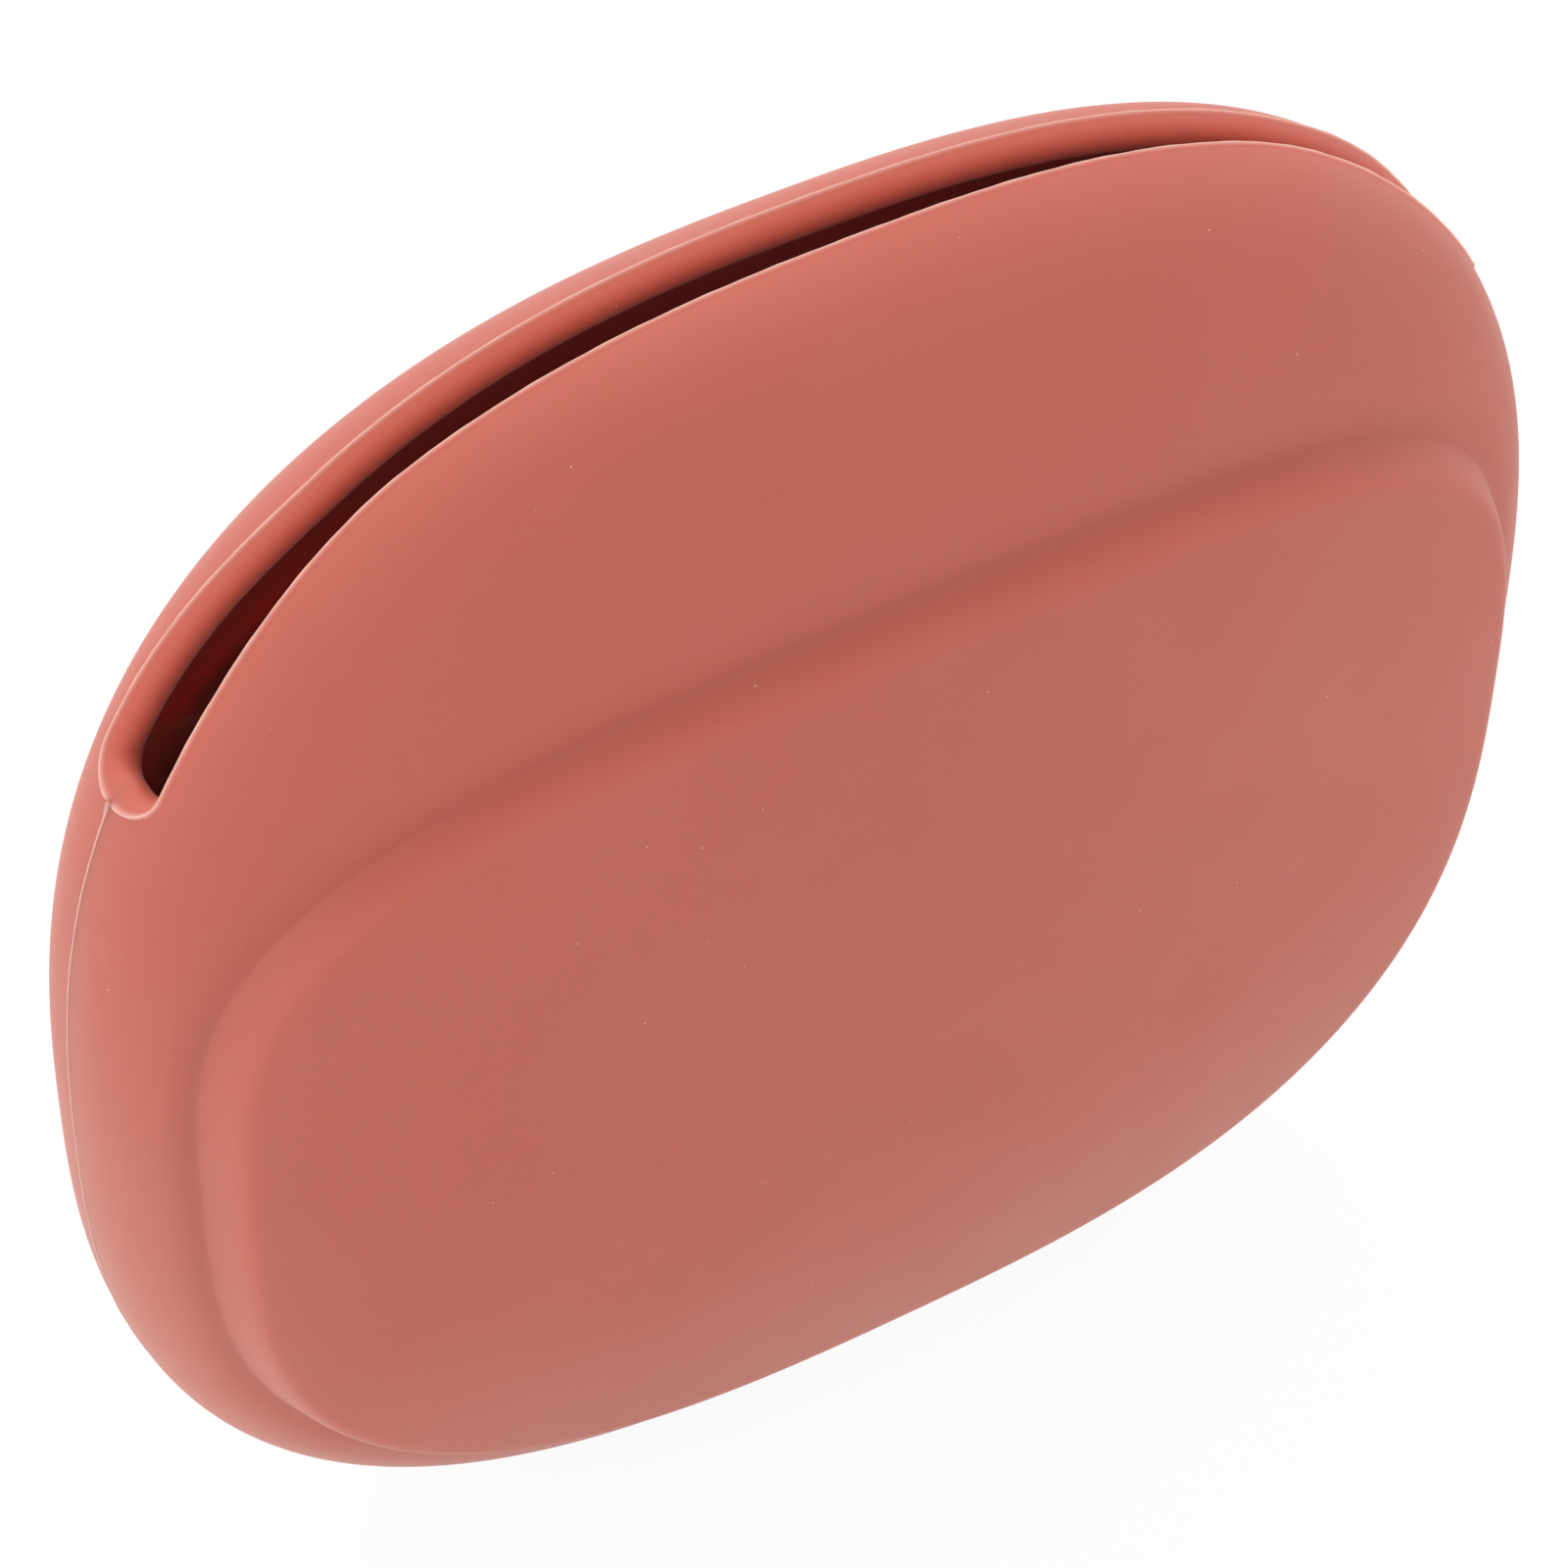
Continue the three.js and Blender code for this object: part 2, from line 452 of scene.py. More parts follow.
@dataclass(frozen=True)
class PebbleOutline:
    """The body's outline seen from the front: two half superellipses that meet at the widest level."""

    widest_level: float = 0.0532
    half_width: float = 0.060
    top_rise: float = 0.0578
    top_roundness: float = 2.55
    base_roundness: float = 2.61

    def reach(self, angle: Array) -> Array:
        """Distance from the centre to the outline.

        Args:
            angle: directions in the XZ plane.

        Returns:
            The superellipse reach, of the upper half where the sine is positive and of the lower elsewhere.
        """
        upper = np.sin(angle) > 0.0
        along = np.where(upper, self.top_rise, self.widest_level)
        roundness = np.where(upper, self.top_roundness, self.base_roundness)
        return superellipse_reach(angle, self.half_width, along, roundness)

    def angle_at(self, level: Array) -> Array:
        """Direction of the right-hand outline point at a level above the widest one."""
        share = (1.0 - (level / self.top_rise) ** self.top_roundness) ** (1.0 / self.top_roundness)
        return np.arctan2(level, self.half_width * share)

    def rising_tangent(self, angle: Array) -> Array:
        """Unit vectors along the outline, towards rising Z.

        Args:
            angle: directions in the XZ plane.

        Returns:
            Vectors as (direction, xz), the difference of two near points of the outline made unit length.
        """
        step = 1e-4
        ends = [self.reach(angle + turn) for turn in (step, -step)]
        along = np.stack([
            ends[0] * np.cos(angle + step) - ends[1] * np.cos(angle - step),
            ends[0] * np.sin(angle + step) - ends[1] * np.sin(angle - step),
        ], axis=-1)
        unit = along / np.linalg.norm(along, axis=-1, keepdims=True)
        return unit * np.where(unit[:, 1:] < 0.0, -1.0, 1.0)


@dataclass(frozen=True)
class PebbleFace:
    """How deep the pebble's face is on the way from its centre to its outline."""

    half_depth: float = 0.0172
    flatness: float = 2.8
    edge_roundness: float = 2.5

    def depth(self, share: Array, middle: float) -> Array:
        """Depth at a share of the way out: middle * (1 - share^p)^(1/q)."""
        held = np.clip(share, 0.0, 1.0)
        return middle * (1.0 - held ** self.flatness) ** (1.0 / self.edge_roundness)

    def share_at(self, depth: Array, middle: float) -> Array:
        """The share of the way out at which the face has come back to a depth."""
        return (1.0 - (depth / middle) ** self.edge_roundness) ** (1.0 / self.flatness)


@dataclass(frozen=True)
class RaisedPanel:
    """The rounded panel that stands proud of each face, with a soft step round it."""

    side_inset: float = 0.0073
    top_inset: float = 0.0237
    base_inset: float = 0.0125
    roundness: float = 3.0
    rise: float = 0.0015  # how far it stands proud of the pebble
    fall_power: float = 2.1  # of its fall from the crown to the step
    hollow: float = 0.0011
    hollow_width: float = 0.0085
    hollow_room: float = 0.8  # the most of the way to the rim that it takes up, as a share
    hollow_foot: float = 0.10  # how round the crease is, as a share of the hollow's width
    step_start: float = -0.0015  # from the superellipse outwards
    step_width: float = 0.0034
    step_lag: float = 2.5  # keeps the top of the step broadly rounded and the crease at its foot tight

    def ridge(self, outline: PebbleOutline, angle: Array) -> Array:
        """Distance from the centre to the top of the step: a superellipse set in from the outline.

        Args:
            outline: the body's outline.
            angle: directions in the XZ plane.

        Returns:
            The distance in each direction.
        """
        upper = np.sin(angle) > 0.0
        along = np.where(upper, outline.top_rise - self.top_inset, outline.widest_level - self.base_inset)
        across = outline.half_width - self.side_inset
        return superellipse_reach(angle, across, along, self.roundness) + self.step_start

    def step_down(self, down: Array) -> Array:
        """How much of the step has been gone down at a share of its width: a smooth step of down^lag."""
        return smooth_rise(down ** self.step_lag)

    def hollow_at(self, beyond: Array, room: Array) -> Array:
        """The shallow hollow outside the step's foot.

        Formula: hollow * (1 - s)^2, where s grows from 0 at the foot to 1 at the hollow's width. It starts
        softly, as sqrt(b^2 + foot^2) - foot with b = beyond / width, so that the crease has a round bottom.

        Args:
            beyond: distance outwards from the foot.
            room: distance from the foot to the rim.

        Returns:
            How far the flank is drawn in.
        """
        width = np.minimum(self.hollow_width, self.hollow_room * room)
        full = np.hypot(1.0, self.hollow_foot) - self.hollow_foot
        soft = (np.hypot(beyond / width, self.hollow_foot) - self.hollow_foot) / full
        return self.hollow * np.clip(1.0 - soft, 0.0, 1.0) ** 2


@dataclass(frozen=True)
class SlotMouth:
    """The slot over the top as one half sees it: round ends on the mould line, and the lip's lean between.

    Levels are above the outline's widest level.
    """

    left_level: float = 0.0313
    right_level: float = 0.0327
    end_radius: float = 0.0030
    middle: float = 0.0030
    bow: float = 0.0
    skew: float = 0.0003
    flare: float = 0.0
    flare_from: float = 0.6

    def half_at(self, place: Array) -> Array:
        """The slot's half width along its length.

        Formula: middle - bow * x^2 - skew * x + flare * smooth step from the flare's start to the end.

        Args:
            place: where along the slot, from -1 at its left end to 1 at its right end.

        Returns:
            The half width at each place.
        """
        flared = smooth_rise((np.abs(place) - self.flare_from) / (1.0 - self.flare_from))
        return self.middle - self.bow * place ** 2 - self.skew * place + self.flare * flared

    def level_at(self, angle: Array) -> Array:
        """The level of the slot's end on the side that a direction points to."""
        return np.where(np.cos(angle) > 0.0, self.right_level, self.left_level)


@dataclass(frozen=True)
class Columns:
    """Directions round the outline, with what the mouth does at each.

    The turn goes from 0 at the bottom of the slot's round ends to a quarter turn along the straight slot.
    Open is 1 on the slot and 0 below it, and mouth is the slot's half width.
    """

    angle: Array
    turn: Array
    open: Array
    mouth: Array


@dataclass
class PouchHalf:
    """One moulded half: raised panel, pebble flank, flash on the rim, rounded lip and inside face."""

    name: str
    face: Face
    lip_body: str
    stands_for: tuple[str, str]
    mouth: SlotMouth
    outline: PebbleOutline = PebbleOutline()
    pebble: PebbleFace = PebbleFace()
    panel: RaisedPanel = RaisedPanel()
    wall: float = 0.0030  # thickness at the flat mould face
    lip_tilt: float = 0.47  # radians that the nose has swung round at the rim line
    end_tilt: float = 0.47  # the same at the bottom of the slot's ends
    lip_round: float = 0.0017  # radius of the nose
    end_round: float = 0.0017
    lip_fade: float = 0.008  # height under the slot's ends over which the nose gives way to the mould face
    end_fullness: float = 1.4  # extra reach of the nose at the bottom of the slot's ends, as a share
    inner_depth: float = 0.0153
    inner_fade: int = 8  # power by which the nose's reach dies away on the inside
    flash_height: float = 0.00020
    flash_width: float = 0.00015
    flash_zone: float = 0.0007  # strip of the outside that the flash's own rows cover
    flash_turn: float = 0.2  # turn over which the flash sets in at the slot's ends
    flash_waves: Waves = ((0.08, 61.0, 0.7), (0.06, 143.0, 2.1))  # over the direction in radians
    glow_paint_share: float = 0.5  # share of the nose's rows over which the painted glow grows
    glow_paint_fade: float = 0.004  # distance over which that dies away on the inside
    sheen_paint_from: float = 0.78  # share of the way out at which the painted sheen sets in
    sheen_paint_level: float = 0.085  # height under which it sets in
    sheen_paint_fall: float = 0.055  # height over which it grows to full
    # strength of the painted sheen over the base
    base_sheen_paint: float = 1.6
    base_height: float = 0.040
    flex_start: float = 0.0885  # height at which the skin starts to follow its lip
    flex_end: float = 0.1080  # height from which it follows its lip alone
    step_gather: float = 1.5  # this and the next three powers gather rows where bends are tight
    rim_gather: float = 1.4
    nose_gather: float = 1.6
    inner_gather: float = 1.8
    end_columns: int = 20
    top_columns: int = 220
    base_columns: int = 220
    panel_rows: int = 26
    step_rows: int = 28
    band_rows: int = 36
    flash_rows: int = 9
    round_rows: int = 28
    inner_rows: int = 18

    def columns(self) -> Columns:
        """Directions round the outline, from the slot's right end over the top and on round the base.

        Returns:
            The columns; the mouth's half width there is that of the slot * sin(turn).
        """
        end_turn = np.linspace(0.0, 0.5 * np.pi, self.end_columns)
        climb = self.mouth.end_radius * (1.0 - np.cos(end_turn))
        right = self.outline.angle_at(self.mouth.right_level + climb)
        left = np.pi - self.outline.angle_at(self.mouth.left_level + climb)[::-1]
        top = np.linspace(right[-1], left[0], self.top_columns)[1:-1]
        base = np.linspace(left[-1], 2.0 * np.pi + right[0], self.base_columns)[1:-1]
        angle = np.concatenate([right, top, left, base])
        closed = np.zeros(base.size)
        turn = np.concatenate([end_turn, np.full(top.size, 0.5 * np.pi), end_turn[::-1], closed])
        opened = np.concatenate([np.ones(angle.size - base.size), closed])
        side = self.outline.reach(angle) * np.cos(angle)
        half = self.mouth.half_at(np.clip(side / side[0], -1.0, 1.0))
        return Columns(angle, turn, opened, half * np.sin(turn))

    def outside_rows(self, columns: Columns, outer: Array) -> tuple[Array, Array]:
        """The panel, its step and the flank, from the middle of the face out to near the rim.

        The panel falls as crown - (crown - ridge) * share^m. The step goes over from the panel carried on
        outwards to the flank, which is the pebble's face less the hollow at the step's foot.

        Args:
            columns: the directions.
            outer: the outline's reach in each direction.

        Returns:
            Radius and depth as (row, column) arrays.
        """
        ridge = self.panel.ridge(self.outline, columns.angle)
        crown = self.pebble.half_depth + self.panel.rise
        ridge_depth = self.pebble.depth(ridge / outer, self.pebble.half_depth) + self.panel.rise
        share = np.linspace(0.0, 1.0, self.panel_rows + 1)[1:, None]
        down = 1.0 - (1.0 - np.linspace(0.0, 1.0, self.step_rows + 1)[1:, None]) ** self.step_gather
        step_radius = ridge + self.panel.step_width * down
        panel_radius = ridge * share
        carried = np.concatenate([panel_radius, step_radius]) / ridge
        panel_depth = crown - (crown - ridge_depth) * carried ** self.panel.fall_power
        flank = self.pebble.depth(step_radius / outer, self.pebble.half_depth) - self.panel.hollow
        gone = self.panel.step_down(down)
        step_depth = panel_depth[self.panel_rows:] * (1.0 - gone) + flank * gone
        crease = step_radius[-1]
        near_rim = outer * self.pebble.share_at(columns.mouth + self.flash_zone, self.pebble.half_depth)
        out = smooth_rise(np.linspace(0.0, 1.0, self.band_rows + 1)[1:, None])
        band_radius = crease + (near_rim - crease) * out
        hollow = self.panel.hollow_at(band_radius - crease, near_rim - crease)
        band_depth = self.pebble.depth(band_radius / outer, self.pebble.half_depth) - hollow
        radius = np.concatenate([panel_radius, step_radius, band_radius])
        return radius, np.concatenate([panel_depth[:self.panel_rows], step_depth, band_depth])

    def flash_shape(self, columns: Columns, away: Array) -> Array:
        """The flash on the rim: a low ridge, exp(-(away / width)^2), a little uneven along the rim.

        Args:
            columns: the directions.
            away: distance from the rim line.

        Returns:
            The ridge as a share of its full height.
        """
        uneven = unevenness(columns.angle, self.flash_waves)
        start = smooth_rise(columns.turn / self.flash_turn) * columns.open
        return np.exp(-(away / self.flash_width) ** 2) * uneven * start

    def rim_rows(self, columns: Columns, outer: Array) -> tuple[Array, Array, Array]:
        """The last of the outside up to the rim line, where the flash stands.

        Args:
            columns: the directions.
            outer: the outline's reach in each direction.

        Returns:
            Radius, depth and flash as (row, column) arrays.
        """
        away = self.flash_zone * np.linspace(1.0, 0.0, self.flash_rows + 1)[1:, None] ** self.rim_gather
        depth = columns.mouth + away
        flash_and_glow = self.flash_shape(columns, away)
        radius = outer * self.pebble.share_at(depth, self.pebble.half_depth) + self.flash_height * flash_and_glow
        return radius, depth, flash_and_glow

    def lip_rows(self, columns: Columns, outer: Array) -> tuple[Array, Array, Array]:
        """The lip from the rim line to the inside: one round nose.

        Formula: with radius r and the tilt t it starts with, the nose goes r * (sin s - sin t) into the
        slot and r * (cos t - cos s) down as s swings from t to a half turn. Both halves come to the same
        nose at the bottom of the slot's ends, where it is fuller. Below the ends the same rows are the flat
        mould face, as thick as the wall.

        Args:
            columns: the directions.
            outer: the outline's reach in each direction.

        Returns:
            Radius, reach into the slot and flash as (row, column) arrays.
        """
        share = np.linspace(0.0, 1.0, self.round_rows + 1)[1:, None] ** self.nose_gather
        risen = np.sin(columns.turn) ** 2
        tilt = self.end_tilt + (self.lip_tilt - self.end_tilt) * risen
        nose = self.end_round + (self.lip_round - self.end_round) * risen
        swing = tilt + (np.pi - tilt) * share
        fuller = 1.0 + self.end_fullness * (1.0 - risen)
        into = nose * fuller * (np.sin(swing) - np.sin(tilt))
        into = np.where(into < 0.0, into * np.sin(columns.turn), into) * columns.open
        down = nose * (np.cos(tilt) - np.cos(swing))
        below = (self.mouth.level_at(columns.angle) - outer * np.sin(columns.angle)) / self.lip_fade
        thick = self.wall + (down[-1] - self.wall) * (1.0 - smooth_rise(below))
        flash_and_glow = self.flash_shape(columns, nose * (swing - tilt))
        rim = outer * self.pebble.share_at(columns.mouth, self.pebble.half_depth)
        return rim - thick * down / down[-1] + self.flash_height * flash_and_glow, into, flash_and_glow

    def inside_rows(self, columns: Columns, rim: Array, into: Array) -> tuple[Array, Array, Array]:
        """The inside of the wall, from the lip back to the middle of the face.

        Args:
            columns: the directions.
            rim: the inner rim's radius in each direction.
            into: how far the inner rim reaches into the slot, which dies away behind the lip.

        Returns:
            Radius, depth and reach into the slot as (row, column) arrays.
        """
        share = self.pebble.share_at(columns.mouth, self.inner_depth)
        back = 1.0 - np.linspace(0.0, 1.0, self.inner_rows + 2)[1:-1, None] ** self.inner_gather
        return rim * back, self.pebble.depth(share * back, self.inner_depth), into * back ** self.inner_fade

    def painted_sheen_shape(self, share: Array, level: Array) -> Array:
        """The painted sheen's mask, standing in for grazing sheen and floor light: on the flank it grows
        from the top down, and the base is covered all over.

        Formula: the larger of rise(outwards) * rise(downwards) and base * rise(towards the base), where
        each rise is a smooth step.

        Args:
            share: radius as a share of the outline's reach.
            level: height above the ground.

        Returns:
            The painted sheen, 1 on the lower flank and more right at the base.
        """
        outward = smooth_rise((share - self.sheen_paint_from) / (1.0 - self.sheen_paint_from))
        downward = smooth_rise((self.sheen_paint_level - level) / self.sheen_paint_fall)
        return np.maximum(outward * downward, self.base_sheen_paint * smooth_rise(1.0 - level / self.base_height))

    def painted_glow_shape(self, columns: Columns, behind: Array) -> Array:
        """The painted glow on the lip, standing in for light let through it: a smooth rise over the nose
        that dies away behind it.

        Args:
            columns: the directions.
            behind: distance of the inside rows from the inner rim.

        Returns:
            The painted glow from 0 to 1 on the lip's rows and the inside rows.
        """
        over = np.linspace(0.0, 1.0, self.round_rows + 1)[1:, None] / self.glow_paint_share
        nose = smooth_rise(over) * columns.open
        return np.concatenate([nose, smooth_rise(1.0 - behind / self.glow_paint_fade) * columns.open])

    def surface(self) -> tuple[Array, dict[str, Array], Array]:
        """The whole wall as rings of points: radius * (cos, sin) round the widest level, depth along Y.

        The lip's reach into the slot is along Y where the slot is straight, and turns to run along the
        outline at the bottom of the slot's round ends.

        Returns:
            Points as (row, column, xyz), the skin's attributes as (row, column), and the rim line's row
            with the lip's last row.
        """
        columns = self.columns()
        outer = self.outline.reach(columns.angle)
        out_radius, out_depth = self.outside_rows(columns, outer)
        rim_radius, rim_depth, rim_flash = self.rim_rows(columns, outer)
        lip_radius, lip_into, lip_flash = self.lip_rows(columns, outer)
        in_radius, in_depth, in_into = self.inside_rows(columns, lip_radius[-1], lip_into[-1])
        radius = np.concatenate([out_radius, rim_radius, lip_radius, in_radius])
        lip_depth = np.broadcast_to(columns.mouth, lip_radius.shape)
        depth = np.concatenate([out_depth, rim_depth, lip_depth, in_depth])
        into = np.concatenate([np.zeros_like(out_depth), np.zeros_like(rim_depth), lip_into, in_into])
        tangent = self.outline.rising_tangent(columns.angle)
        along = into * np.cos(columns.turn)
        points = np.stack([
            radius * np.cos(columns.angle) + along * tangent[:, 0],
            self.face.value * (depth - into * np.sin(columns.turn)),
            self.outline.widest_level + radius * np.sin(columns.angle) + along * tangent[:, 1],
        ], axis=-1)
        flash_and_glow = np.concatenate([np.zeros_like(out_depth), rim_flash, lip_flash, np.zeros_like(in_depth)])
        first = out_radius.shape[0] + rim_radius.shape[0] - 1
        # mask of the painted sheen on the lower flank and the base
        painted_sheen = self.painted_sheen_shape(radius / outer, points[..., 2])
        painted_sheen[first + 1:] = 0.0
        # mask of the painted glow on the lip
        painted_glow = np.zeros_like(painted_sheen)
        painted_glow[first + 1:] = self.painted_glow_shape(columns, lip_radius[-1] - in_radius)
        layers = {"flash_and_glow": flash_and_glow, "painted_sheen": painted_sheen, "painted_glow": painted_glow}
        return points, layers, np.array([first, first + lip_radius.shape[0]])

    def build(self) -> bpy.types.Mesh:
        """Builds the half's mesh.

        Returns:
            A closed mesh with the attributes of the flash, the painted sheen and the painted lip glow,
            creased round the flat mould face.
        """
        rings, layers, corners = self.surface()
        crown = self.face.value * (self.pebble.half_depth + self.panel.rise)
        first = np.array([0.0, crown, self.outline.widest_level])
        last = np.array([0.0, self.face.value * self.inner_depth, self.outline.widest_level])
        mesh = ring_mesh(self.name, rings, first, last, self.face is Face.BACK)
        for label, values in layers.items():
            layer = mesh.attributes.new(label, "FLOAT", "POINT")
            layer.data.foreach_set("value", np.concatenate([values.ravel(), [0.0, 0.0]]).astype(np.float32))
        self.crease_mould_face(mesh, rings, corners)
        return mesh

    def crease_mould_face(self, mesh: bpy.types.Mesh, rings: Array, corners: Array) -> None:
        """Marks the edges of the flat mould face as sharp, so that the outside's shading runs on past them.

        Args:
            mesh: the half's mesh.
            rings: its points.
            corners: the rows that bound the mould face.
        """
        around = rings.shape[1]
        ends = np.empty(2 * len(mesh.edges), dtype=np.int32)
        mesh.edges.foreach_get("vertices", ends)
        row, column = np.divmod(ends.reshape(-1, 2), around)
        closed = self.columns().open == 0.0
        along = closed[column].any(axis=1) & (row[:, 0] == row[:, 1]) & np.isin(row[:, 0], corners)
        end_columns = np.flatnonzero(~closed & (np.roll(closed, 1) | np.roll(closed, -1)))
        up = (column[:, 0] == column[:, 1]) & np.isin(column[:, 0], end_columns)
        held = along | (up & (row >= corners[0]).all(axis=1) & (row <= corners[1]).all(axis=1))
        layer = mesh.attributes.new("sharp_edge", "BOOLEAN", "EDGE")
        layer.data.foreach_set("value", held)

    def dress(self, material: bpy.types.Material) -> bpy.types.Object:
        """Puts the half in the scene; it stands for its shell and lip, which it hides.

        Args:
            material: the silicone.

        Returns:
            The piece.
        """
        piece = put_in_scene(self.build(), material)
        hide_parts(*self.stands_for)
        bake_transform(piece)
        return piece


@dataclass
class MouldLine:
    """The thin line of flash where the mould's halves met, from one slot end round the base to the next."""

    name: str = "mould_line"
    outline: PebbleOutline = PebbleOutline()
    mouth: SlotMouth = SlotMouth()
    half_width: float = 0.00010
    height: float = 0.00006
    nub_height: float = 0.00022
    nub_length: float = 0.0008
    waves: Waves = ((0.25, 900.0, 0.4), (0.2, 2300.0, 1.9))  # over the length in metres
    width_share: float = 0.25  # how much of the unevenness shows in the width
    flash_and_glow: float = 0.9  # how pale the bead is, from 0 to 1: its own paler tone with a painted glow
    stations: int = 480
    around: int = 12

    def surface(self) -> Array:
        """A low oval bead carried along the outline, thicker at its ends and flat where the pouch stands.

        Formula: point = outline + across * cos(p) * Y + rise * sin(p) * outward, where across and rise vary
        along the line.

        Returns:
            Points as (station, place round the bead, xyz).
        """
        left, right = self.outline.angle_at(np.array([self.mouth.left_level, self.mouth.right_level]))
        angle = np.linspace(np.pi - left, 2.0 * np.pi + right, self.stations)
        reach = self.outline.reach(angle)
        path = np.stack([reach * np.cos(angle), self.outline.widest_level + reach * np.sin(angle)], axis=-1)
        along = np.gradient(path, axis=0)
        along /= np.linalg.norm(along, axis=-1, keepdims=True)
        outward = np.stack([along[:, 1], -along[:, 0]], axis=-1)
        length = np.concatenate([[0.0], np.cumsum(np.linalg.norm(np.diff(path, axis=0), axis=-1))])
        from_end = np.minimum(length, length[-1] - length)
        nub = np.exp(-(from_end / self.nub_length) ** 2)
        uneven = unevenness(length, self.waves)
        rise = self.height * uneven + self.nub_height * nub
        across = self.half_width * (1.0 + self.width_share * (uneven - 1.0)) * (1.0 + nub)
        place = np.linspace(0.0, 2.0 * np.pi, self.around, endpoint=False)
        lift = rise[:, None] * np.sin(place)
        return np.stack([
            path[:, :1] + outward[:, :1] * lift,
            across[:, None] * np.cos(place),
            np.maximum(path[:, 1:] + outward[:, 1:] * lift, 0.0),
        ], axis=-1)

    def dress(self, material: bpy.types.Material) -> bpy.types.Object:
        """Builds the bead, marks it as flash, paler with a painted glow, and lets it ride on the body.

        Args:
            material: the silicone.

        Returns:
            The piece.
        """
        rings = self.surface()
        mesh = ring_mesh(self.name, rings, rings[0].mean(axis=0), rings[-1].mean(axis=0), False)
        layer = mesh.attributes.new("flash_and_glow", "FLOAT", "POINT")
        layer.data.foreach_set("value", np.full(len(mesh.vertices), self.flash_and_glow, dtype=np.float32))
        piece = put_in_scene(mesh, material)
        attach(piece, "pouch_body")
        return piece


@dataclass(frozen=True)
class SoftBox:
    """One large soft lamp, aimed at the pouch."""

    name: str
    place: Point
    watts: float
    side: float = 0.9

    def light(self, aim: Point) -> None:
        """Makes the lamp and turns it towards a point.

        Args:
            aim: the point that the lamp faces.
        """
        lamp = bpy.data.lights.new(self.name, "AREA")
        lamp.shape = "SQUARE"
        lamp.size = self.side
        lamp.energy = self.watts
        piece = bpy.data.objects.new(self.name, lamp)
        piece.location = self.place
        piece.rotation_euler = (Vector(aim) - Vector(self.place)).to_track_quat("-Z", "Y").to_euler()
        bpy.context.scene.collection.objects.link(piece)


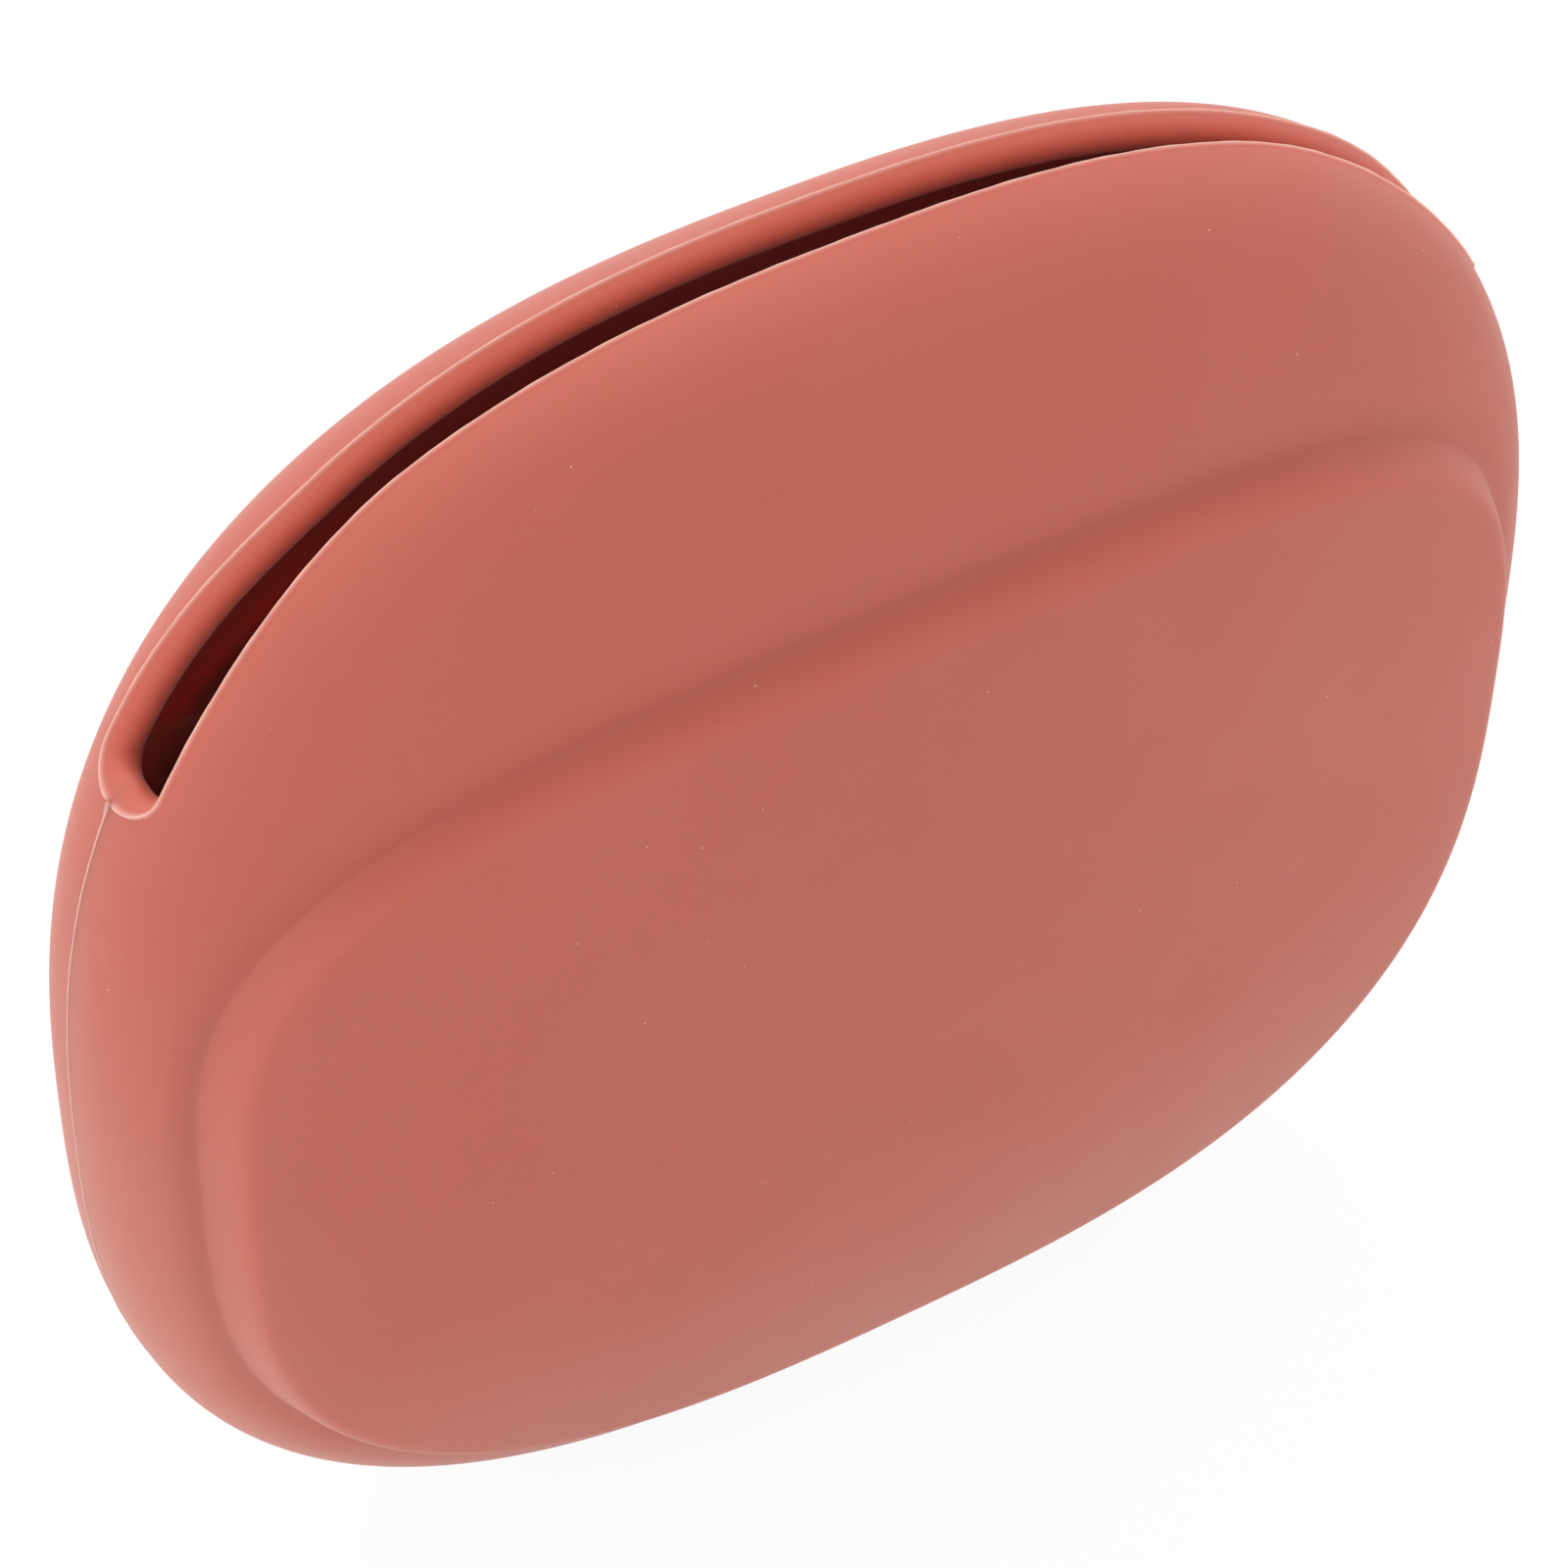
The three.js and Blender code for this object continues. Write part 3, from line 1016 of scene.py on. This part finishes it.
@dataclass(frozen=True)
class Studio:
    """White light tent: pale floor, even light and three soft boxes, with the photograph's camera.

    The camera's angles are degrees, its lens and sensor are millimetres, and aside and above move it in its
    own picture plane.
    """

    aim: Point = (0.0, 0.0, PebbleOutline.widest_level)
    boxes: tuple[SoftBox, ...] = (
        SoftBox("left_box", (-1.2, 0.0, 0.35), 3.9),
        SoftBox("right_box", (1.05, -0.1, 0.6), 1.7),
        SoftBox("rear_box", (0.0, 0.8, 0.95), 6.2),
    )
    surround: float = 0.905
    floor_half: float = 3.0
    floor_colour: Colour = (0.9, 0.9, 0.9, 1.0)
    floor_glow: float = 0.93  # share of plain white in what the camera sees of the floor
    azimuth: float = -31.76
    elevation: float = 45.672
    roll: float = 1.21
    distance: float = 0.37738
    aside: float = -0.0024
    above: float = 0.00354
    lens: float = 117.6
    sensor: float = 36.0
    clip: Range = (0.01, 20.0)

    def build(self) -> None:
        """Sets the floor, the surround, the lamps and the camera."""
        self.lay_floor()
        self.light_surround()
        for box in self.boxes:
            box.light(self.aim)
        self.set_camera()
        bpy.context.scene.view_settings.view_transform = "Standard"

    def seen_white(self, board: NodeBoard) -> Socket:
        """Tells the rays that show the background: from the camera, in a gloss or through glass.

        Args:
            board: the nodes of the material or world.

        Returns:
            A socket that is 1 for those rays and 0 for the rest.
        """
        path = board.add("ShaderNodeLightPath")
        shown = board.pair("MAXIMUM", path.outputs["Is Camera Ray"], path.outputs["Is Glossy Ray"])
        return board.pair("MAXIMUM", shown, path.outputs["Is Transmission Ray"])

    def lay_floor(self) -> None:
        """A pale floor that shows nearly white and keeps a faint shadow."""
        half = self.floor_half
        mesh = bpy.data.meshes.new("studio_floor")
        corners = [(-half, -half, 0.0), (half, -half, 0.0), (half, half, 0.0), (-half, half, 0.0)]
        mesh.from_pydata(corners, [], [(0, 1, 2, 3)])
        material = bpy.data.materials.new("studio_floor")
        material.use_nodes = True
        board = NodeBoard(material.node_tree)
        matte = board.add("ShaderNodeBsdfDiffuse")
        board.fill(matte, {"Color": self.floor_colour})
        glow = board.add("ShaderNodeEmission")
        board.fill(glow, {"Color": WHITE, "Strength": 1.0})
        mix = board.add("ShaderNodeMixShader")
        board.wire(board.maths("MULTIPLY", self.seen_white(board), self.floor_glow), mix.inputs[0])
        board.wire(matte.outputs[0], mix.inputs[1])
        board.wire(glow.outputs[0], mix.inputs[2])
        output = board.add("ShaderNodeOutputMaterial")
        board.wire(mix.outputs[0], output.inputs["Surface"])
        mesh.materials.append(material)
        floor = bpy.data.objects.new("studio_floor", mesh)
        bpy.context.scene.collection.objects.link(floor)

    def light_surround(self) -> None:
        """Even white light all round, which shows as white itself."""
        world = bpy.data.worlds.new("light_tent")
        world.use_nodes = True
        bpy.context.scene.world = world
        board = NodeBoard(world.node_tree)
        background = board.add("ShaderNodeBackground")
        board.fill(background, {"Color": WHITE})
        strength = board.add("ShaderNodeMapRange")
        board.fill(strength, {"To Min": self.surround, "To Max": 1.0})
        board.wire(self.seen_white(board), strength.inputs["Value"])
        board.wire(strength.outputs["Result"], background.inputs["Strength"])
        output = board.add("ShaderNodeOutputWorld")
        board.wire(background.outputs[0], output.inputs["Surface"])

    def set_camera(self) -> None:
        """Puts the camera where the photograph was taken from, turned a little round its own axis."""
        around, up = math.radians(self.azimuth), math.radians(self.elevation)
        back = Vector((math.sin(around) * math.cos(up), -math.cos(around) * math.cos(up), math.sin(up)))
        level = Vector((math.cos(around), math.sin(around), 0.0))
        rising = back.cross(level)
        tilt = math.radians(self.roll)
        right = level * math.cos(tilt) + rising * math.sin(tilt)
        top = rising * math.cos(tilt) - level * math.sin(tilt)
        place = Vector(self.aim) + back * self.distance + right * self.aside + top * self.above
        camera = bpy.data.cameras.new("photo_camera")
        camera.lens = self.lens
        camera.sensor_width = self.sensor
        camera.clip_start, camera.clip_end = self.clip
        piece = bpy.data.objects.new("photo_camera", camera)
        turn = Matrix((right, top, back)).transposed()
        piece.matrix_world = Matrix.Translation(place) @ turn.to_4x4()
        bpy.context.scene.collection.objects.link(piece)
        bpy.context.scene.camera = piece


def main() -> None:
    """Builds the studio and the pouch's pieces in order and reports each one."""
    logging.basicConfig(level=logging.INFO, format="%(name)s: %(message)s")
    Studio().build()
    silicone = SiliconeFinish().material()
    thin_silicone = SiliconeFinish(name="thin_silicone", through=0.0).material()
    front = PouchHalf("front_skin", Face.FRONT, "front_lip", ("front_shell", "front_lip"),
                      SlotMouth(middle=0.00187, flare=0.0017, flare_from=0.6))
    back = PouchHalf("back_skin", Face.BACK, "back_lip", ("back_shell", "back_lip"),
                     SlotMouth(middle=0.0035, bow=0.0023, flare=0.0018, flare_from=0.7),
                     lip_tilt=0.2, lip_round=0.0015)
    for piece, finish in ((front, silicone), (back, silicone), (MouldLine(), thin_silicone)):
        made = piece.dress(finish)
        LOG.info("%s: %d vertices, %d faces", made.name, len(made.data.vertices), len(made.data.polygons))


if __name__ == "__main__":
    main()
